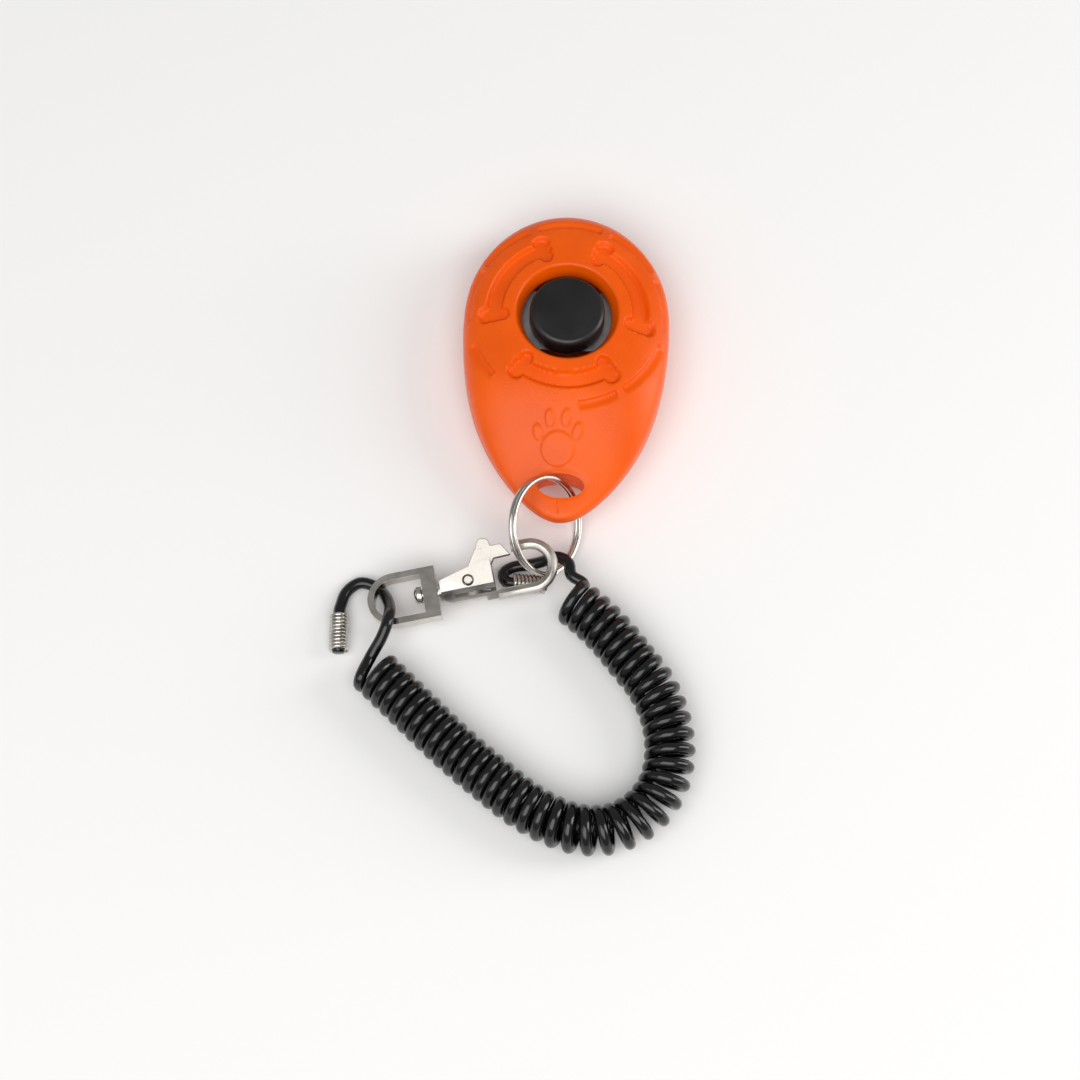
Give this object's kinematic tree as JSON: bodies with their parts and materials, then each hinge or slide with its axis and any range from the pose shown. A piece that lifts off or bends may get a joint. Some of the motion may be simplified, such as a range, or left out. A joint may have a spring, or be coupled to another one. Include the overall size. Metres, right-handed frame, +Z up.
{
  "type": "clicker trainer",
  "caption": "Egg-shaped training clicker with a domed button over a spring steel plate, a split ring, a swivel snap hook and a coiled wrist strap.",
  "frame": {"origin": "on the button's axis, at the case's flat back face, which lies on the table", "axes": "+Z up out of the button; +Y to the case's rounded end; the tip with the lanyard hole points to -Y; +X to the right seen from above"},
  "size_m": [0.0743, 0.1347, 0.0187],
  "materials": {
    "case_orange": "semi-gloss moulded plastic with a fine texture",
    "button_black": "satin black moulded plastic",
    "spring_steel": "rolled spring steel",
    "fastener_steel": "plain steel",
    "ring_nickel": "nickel-plated spring wire",
    "hook_nickel": "nickel-plated zinc",
    "cord_black": "glossy extruded plastic cord",
    "ferrule_wire": "close-wound plated wire"
  },
  "bodies": {
    "clicker": {"front_cover": "case_orange", "back_cover": "case_orange", "click_plate": "spring_steel", "plate_rivet_left": "fastener_steel", "plate_rivet_right": "fastener_steel", "back_screw_1": "fastener_steel", "back_screw_2": "fastener_steel", "back_screw_3": "fastener_steel"},
    "button": {"button": "button_black"},
    "ring": {"split_ring": "ring_nickel", "strap_coil": "cord_black", "cord_loop_right": "cord_black", "ferrule_right": "ferrule_wire"},
    "bail": {"swivel_bail": "hook_nickel", "cord_loop_left": "cord_black", "ferrule_left": "ferrule_wire"},
    "hook": {"hook_body": "hook_nickel", "swivel_post": "hook_nickel", "gate_pin": "fastener_steel", "gate_spring": "spring_steel"},
    "gate": {"gate": "hook_nickel"}
  },
  "joints": [
    {"name": "button_press", "type": "slide", "parent": "clicker", "child": "button", "axis": [0, 0, -1], "range_m": [0, 0.0016], "stiffness_N_per_m": 400, "deforming": ["click_plate"]},
    {"name": "ring_swing", "type": "hinge", "parent": "clicker", "child": "ring", "pos_m": [0, -0.0356, 0.008], "axis": [1, 0, 0], "range_deg": [0, 40]},
    {"name": "hook_swing", "type": "hinge", "parent": "ring", "child": "bail", "pos_m": [-0.00573, -0.05248, 0.00892], "axis": [0, 0, 1], "range_deg": [-18, 18], "deforming": ["strap_coil"]},
    {"name": "swivel", "type": "hinge", "parent": "bail", "child": "hook", "pos_m": [-0.0376, -0.0609, 0.0046], "axis": [0.9714, 0.2047, 0.1201], "range_deg": [-25, 15]},
    {"name": "gate_open", "type": "hinge", "parent": "hook", "child": "gate", "pos_m": [-0.01762, -0.05569, 0.0073], "axis": [0.0745, 0.2177, -0.9732], "range_deg": [0, 24], "stiffness_Nm_per_rad": 0.01, "deforming": ["gate_spring"]}
  ]
}
